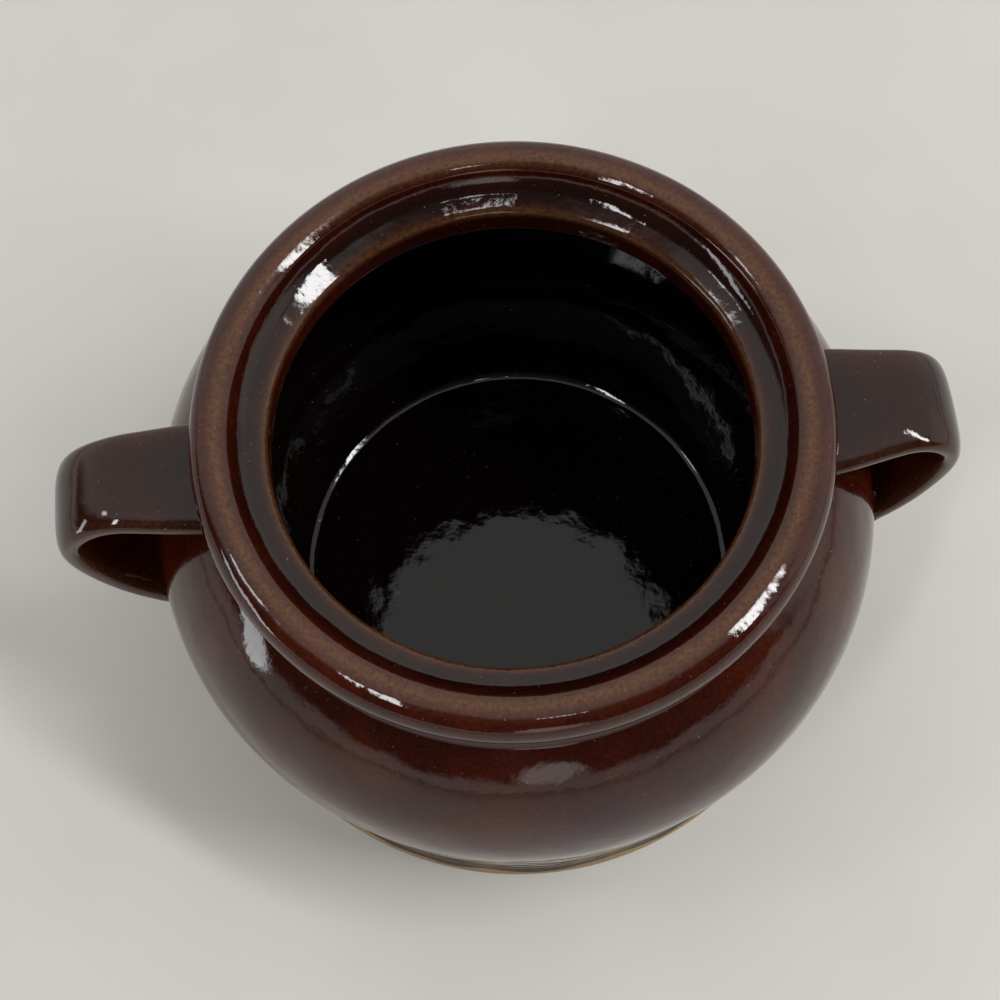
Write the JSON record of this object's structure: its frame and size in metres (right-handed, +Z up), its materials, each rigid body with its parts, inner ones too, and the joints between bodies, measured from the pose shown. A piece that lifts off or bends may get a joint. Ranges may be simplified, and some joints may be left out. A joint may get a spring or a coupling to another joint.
{
  "type": "bean pot",
  "caption": "Glazed stoneware bean pot without its lid: round belly, wide rolled rim with an inner lid gallery, and strap handles from neck to belly.",
  "frame": {"origin": "centre of the foot, on the plane that the pot stands on", "axes": "+Z up along the axis of the pot, +X towards the right handle, -Y towards the near side of the picture"},
  "size_m": [0.2216, 0.184, 0.12],
  "materials": {
    "glazed_body": "glossy dark red-brown glaze over buff stoneware, bare clay at the foot",
    "glazed_handle": "glossy dark red-brown glaze that breaks lighter on the edges"
  },
  "bodies": {
    "root": {"vessel": "glazed_body", "left_handle": "glazed_handle", "right_handle": "glazed_handle"}
  },
  "joints": []
}
